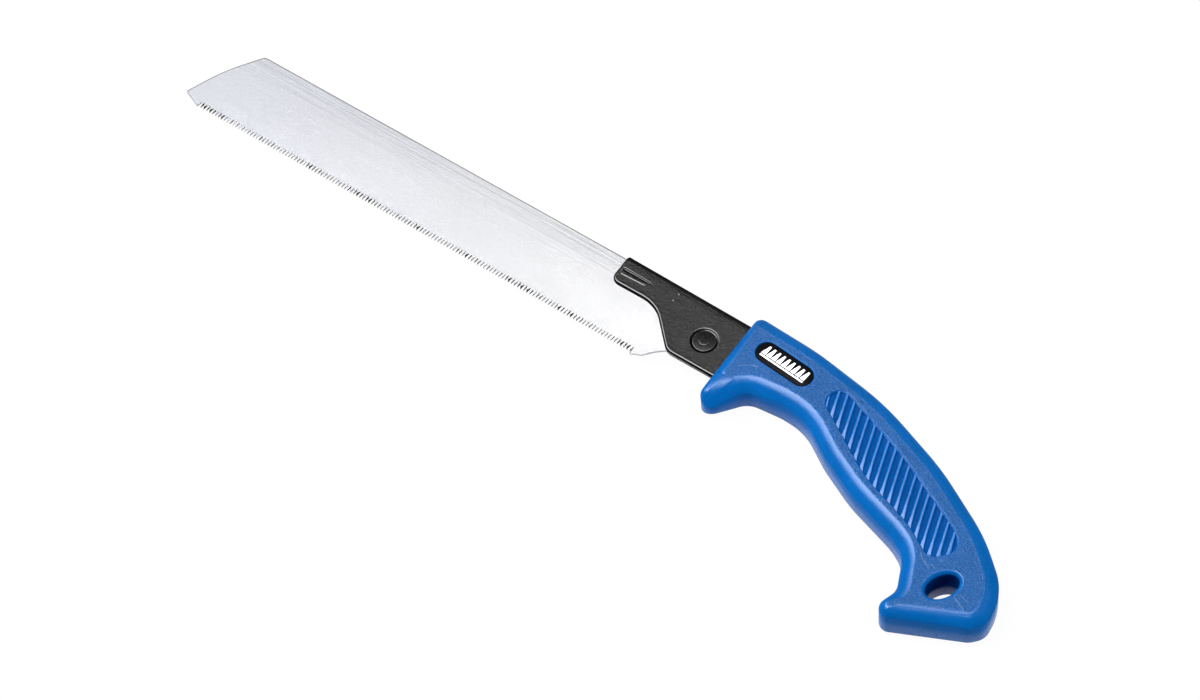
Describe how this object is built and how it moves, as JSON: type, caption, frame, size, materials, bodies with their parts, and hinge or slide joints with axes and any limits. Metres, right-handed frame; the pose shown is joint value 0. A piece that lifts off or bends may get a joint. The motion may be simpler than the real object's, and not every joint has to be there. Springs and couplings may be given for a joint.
{
  "type": "hand saw",
  "caption": "Pull-stroke hand saw: toothed blade with a slanted tip, hooked on a pin in a folded sheet holder, and a curved two-shell handle with ribbed grip panels and a hang hole.",
  "frame": {"origin": "on the surface the saw lies on, under the middle of its outline box", "axes": "+X from the blade's tip to the butt, +Y toward the blade's spine, +Z out of the left face"},
  "size_m": [0.4706, 0.0974, 0.022],
  "materials": {
    "blade_steel": "satin, brushed lengthwise",
    "holder_black": "black coated sheet, fine texture",
    "pin_black": "black, semi-gloss",
    "handle_blue": "moulded, satin",
    "badge_black": "gloss black with a plain silver stripe",
    "screw_steel": "zinc plated"
  },
  "bodies": {
    "handle": {"blade_holder": "holder_black", "hook_pin": "pin_black", "left_shell": "handle_blue", "right_shell": "handle_blue", "left_badge": "badge_black", "right_badge": "badge_black", "tang_screw_front": "screw_steel", "tang_screw_rear": "screw_steel", "grip_screw": "screw_steel", "butt_screw": "screw_steel"},
    "blade": {"blade": "blade_steel"}
  },
  "joints": [
    {"name": "blade_swing", "type": "hinge", "parent": "handle", "child": "blade", "pos_m": [0.05085, 0.0271, 0.011], "axis": [0, 0, 1], "range_deg": [0, 45]}
  ]
}
